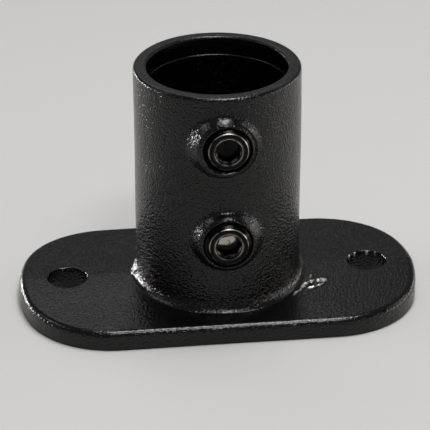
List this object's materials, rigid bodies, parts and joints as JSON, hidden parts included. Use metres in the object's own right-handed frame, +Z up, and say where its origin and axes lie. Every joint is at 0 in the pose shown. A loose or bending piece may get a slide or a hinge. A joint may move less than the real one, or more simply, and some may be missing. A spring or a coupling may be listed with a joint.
{
  "type": "tube clamp base flange",
  "caption": "Oval base flange with an upright socket for a round tube, held by set screws in raised bosses, with an anchor hole in each end.",
  "frame": {"origin": "on the tube's axis, at the underside that rests on the floor or wall", "axes": "+Z up along the tube, +X along the flange through both anchor holes, the set screws face -Y"},
  "size_m": [0.1456, 0.0794, 0.0905],
  "materials": {
    "coated_iron": "black powder coat over cast iron, semi-gloss with a fine grain",
    "blackened_steel": "black oxide, smooth and slightly oily"
  },
  "bodies": {
    "casting": {"flange_body": "coated_iron"},
    "upper_screw": {"upper_set_screw": "blackened_steel"},
    "lower_screw": {"lower_set_screw": "blackened_steel"}
  },
  "joints": [
    {"name": "upper_screw_travel", "type": "slide", "parent": "casting", "child": "upper_screw", "axis": [0, 1, 0], "range_m": [-0.004, 0.005]},
    {"name": "lower_screw_travel", "type": "slide", "parent": "casting", "child": "lower_screw", "axis": [0, 1, 0], "range_m": [-0.004, 0.005]}
  ]
}
